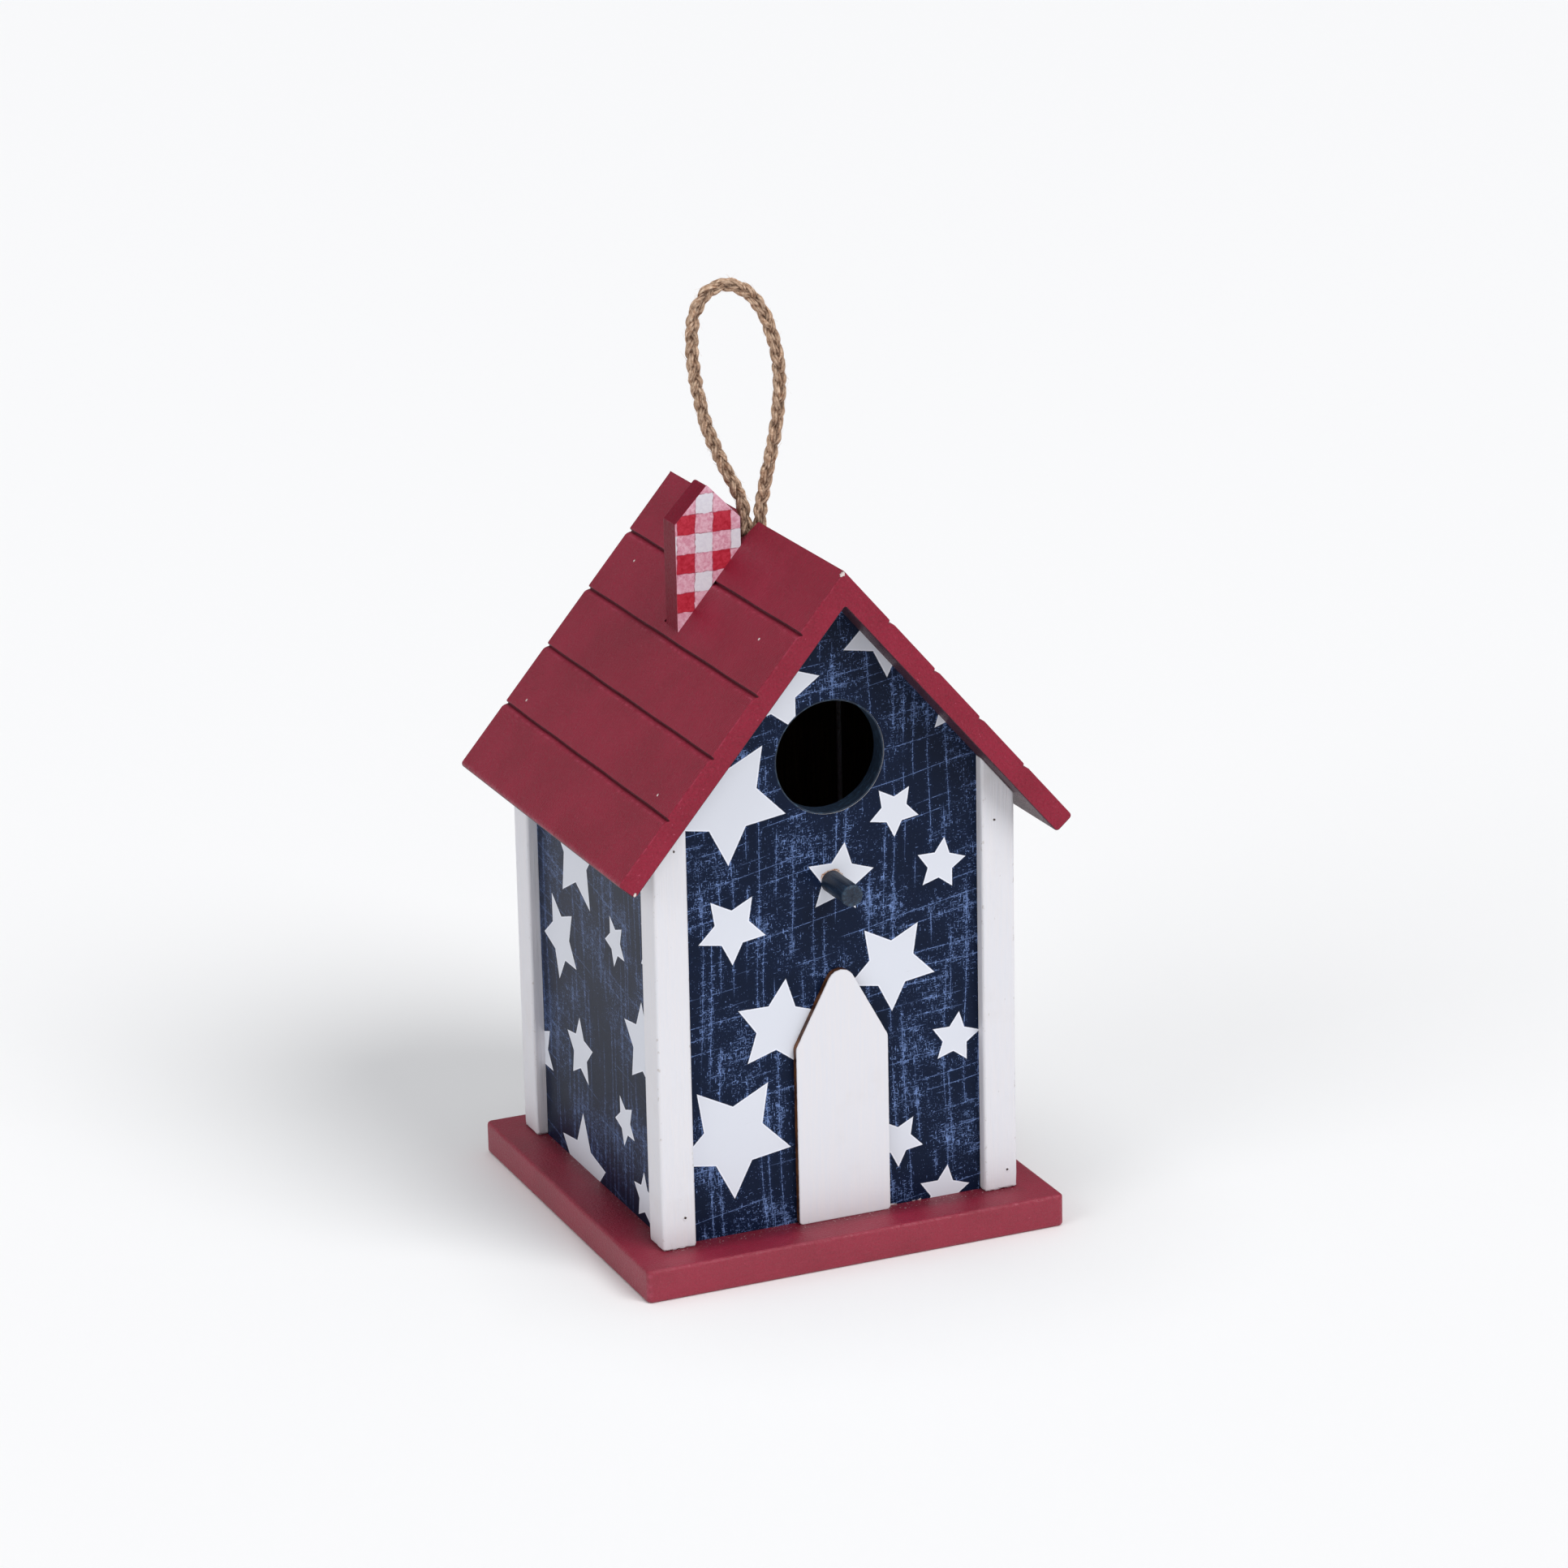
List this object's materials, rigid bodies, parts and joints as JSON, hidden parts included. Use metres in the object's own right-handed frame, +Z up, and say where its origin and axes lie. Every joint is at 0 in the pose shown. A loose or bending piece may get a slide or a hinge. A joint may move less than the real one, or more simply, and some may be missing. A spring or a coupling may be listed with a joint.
{
  "type": "birdhouse",
  "caption": "Gabled wooden birdhouse with a round entrance, perch, corner posts, ridge chimney, door plaque, swivelling clean-out cover and a rope loop.",
  "frame": {"origin": "centre of the base plate's underside", "axes": "+Z up, the front with the entrance faces -Y, +X to the right seen from the front"},
  "size_m": [0.127, 0.12, 0.2536],
  "materials": {
    "red_paint": "satin paint over wood",
    "white_paint": "satin paint over wood",
    "navy_paint": "satin paint over wood",
    "plywood": "bare plywood",
    "star_print": "printed paper, satin",
    "check_print": "printed paper, satin",
    "steel": "bright zinc",
    "jute": "twisted jute fibre"
  },
  "bodies": {
    "house": {"base_plate": "red_paint", "front_wall": "plywood", "back_wall": "plywood", "left_wall": "plywood", "right_wall": "plywood", "front_print": "star_print", "back_print": "star_print", "left_print": "star_print", "right_print": "star_print", "front_left_post": "white_paint", "front_right_post": "white_paint", "back_left_post": "white_paint", "back_right_post": "white_paint", "left_roof_board": "red_paint", "right_roof_board": "red_paint", "chimney": "red_paint", "chimney_print": "check_print", "perch": "navy_paint", "door_plaque": "white_paint", "cleanout_screw": "steel", "left_roof_brads": "steel", "right_roof_brads": "steel", "front_post_brads": "steel", "back_post_brads": "steel", "base_nails": "steel", "chimney_nail": "steel", "hanging_rope": "jute", "rope_knot": "jute"},
    "cover": {"cleanout_cover": "white_paint"}
  },
  "joints": [
    {"name": "cover_pivot", "type": "hinge", "parent": "house", "child": "cover", "pos_m": [0, 0.05, 0.065], "axis": [0, 1, 0], "continuous": true}
  ]
}
